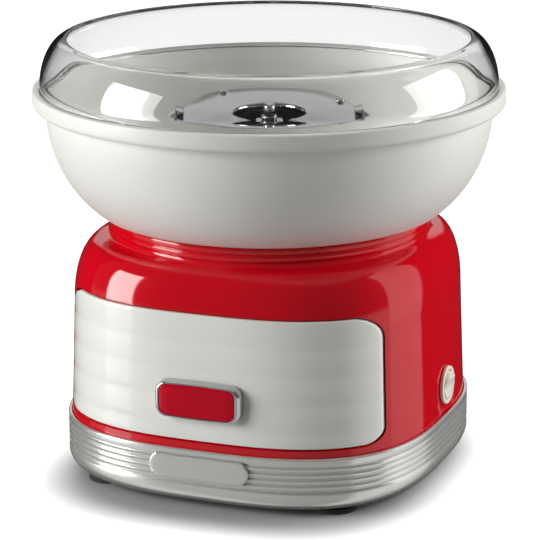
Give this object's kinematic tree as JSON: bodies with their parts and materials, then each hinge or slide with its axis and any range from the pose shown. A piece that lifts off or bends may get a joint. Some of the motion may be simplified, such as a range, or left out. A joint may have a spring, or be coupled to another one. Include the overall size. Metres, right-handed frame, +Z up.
{
  "type": "cotton candy machine",
  "caption": "Table-top electric cotton candy machine: a square red housing with a fluted front panel carries a round white bowl, a clear splash guard and a spinning sugar head.",
  "frame": {"origin": "on the table, under the spindle, at the centre of the overall box", "axes": "+Z up along the spindle, -Y out of the fluted front panel, +X out of the switch side"},
  "size_m": [0.3, 0.3, 0.2766],
  "materials": {
    "red_gloss": "high gloss moulded plastic",
    "badge_red": "glossy enamel",
    "panel_satin": "pale satin metallic paint",
    "silver_trim": "satin metallised plastic",
    "badge_chrome": "bright chrome plating",
    "bowl_white": "smooth white plastic",
    "clear_plastic": "clear polished plastic",
    "switch_white": "semi-gloss white plastic",
    "black_plastic": "fine textured black plastic",
    "beige_plastic": "plain moulded plastic",
    "board_green": "green circuit board",
    "foot_rubber": "soft black rubber",
    "screw_steel": "zinc plated steel",
    "sheet_steel": "pressed sheet steel",
    "polished_steel": "polished and lightly brushed steel",
    "shaft_steel": "ground steel",
    "wing_steel": "turned steel",
    "element_steel": "heat darkened steel tube",
    "insulator_ceramic": "unglazed ceramic",
    "bush_brass": "oiled sintered bronze",
    "magnet_ferrite": "dark ferrite",
    "copper_winding": "enamelled copper and laminated steel",
    "lead_red": "smooth wire insulation",
    "lead_blue": "smooth wire insulation"
  },
  "bodies": {
    "body": {"base_plate": "black_plastic", "foot_1": "foot_rubber", "foot_2": "foot_rubber", "foot_3": "foot_rubber", "foot_4": "foot_rubber", "base_screw_1": "screw_steel", "base_screw_2": "screw_steel", "base_screw_3": "screw_steel", "base_screw_4": "screw_steel", "base_ring": "silver_trim", "nameplate": "silver_trim", "body_shell": "red_gloss", "front_panel": "panel_satin", "badge_frame": "badge_chrome", "badge_inlay": "badge_red", "switch_housing": "switch_white", "cord_gland": "black_plastic", "heater_tower": "black_plastic", "tower_screw_1": "screw_steel", "tower_screw_2": "screw_steel", "tower_screw_3": "screw_steel", "heater_dish": "sheet_steel", "heating_element": "element_steel", "heater_insulator_1": "insulator_ceramic", "heater_insulator_2": "insulator_ceramic", "heater_insulator_3": "insulator_ceramic", "thermal_cutout": "beige_plastic", "shaft_bushing": "bush_brass", "motor_can": "sheet_steel", "motor_end_cap": "black_plastic", "magnet_1": "magnet_ferrite", "magnet_2": "magnet_ferrite", "motor_bearing_1": "bush_brass", "motor_bearing_2": "bush_brass", "motor_bracket": "sheet_steel", "bracket_screw_1": "screw_steel", "bracket_screw_2": "screw_steel", "terminal_block": "beige_plastic", "rectifier_board": "board_green", "lead_switch": "lead_blue", "lead_heater": "lead_red", "lead_motor": "lead_red"},
    "rocker": {"switch_rocker": "switch_white"},
    "spindle": {"drive_shaft": "shaft_steel", "drive_pin": "shaft_steel", "armature": "copper_winding", "commutator": "copper_winding", "cooling_fan": "black_plastic"},
    "head": {"head_pan": "sheet_steel", "head_band": "sheet_steel", "head_plate": "polished_steel", "head_rivet_1": "screw_steel", "head_rivet_2": "screw_steel", "head_clip_1": "polished_steel", "head_clip_2": "polished_steel", "head_hub": "shaft_steel", "wing_nut": "wing_steel", "cap_nut": "wing_steel"},
    "bowl": {"bowl": "bowl_white"},
    "guard": {"splash_guard": "clear_plastic"}
  },
  "joints": [
    {"name": "switch_rock", "type": "hinge", "parent": "body", "child": "rocker", "pos_m": [0.11688, 0.006, 0.0565], "axis": [0, -1, 0], "range_deg": [0, 22]},
    {"name": "head_spin", "type": "hinge", "parent": "body", "child": "spindle", "pos_m": [0, 0, 0.2], "axis": [0, 0, 1], "continuous": true},
    {"name": "head_lift", "type": "slide", "parent": "spindle", "child": "head", "axis": [0, 0, 1], "range_m": [0, 0.08]},
    {"name": "bowl_lift", "type": "slide", "parent": "body", "child": "bowl", "axis": [0, 0, 1], "range_m": [0, 0.09]},
    {"name": "guard_lift", "type": "slide", "parent": "bowl", "child": "guard", "axis": [0, 0, 1], "range_m": [0, 0.04]}
  ]
}
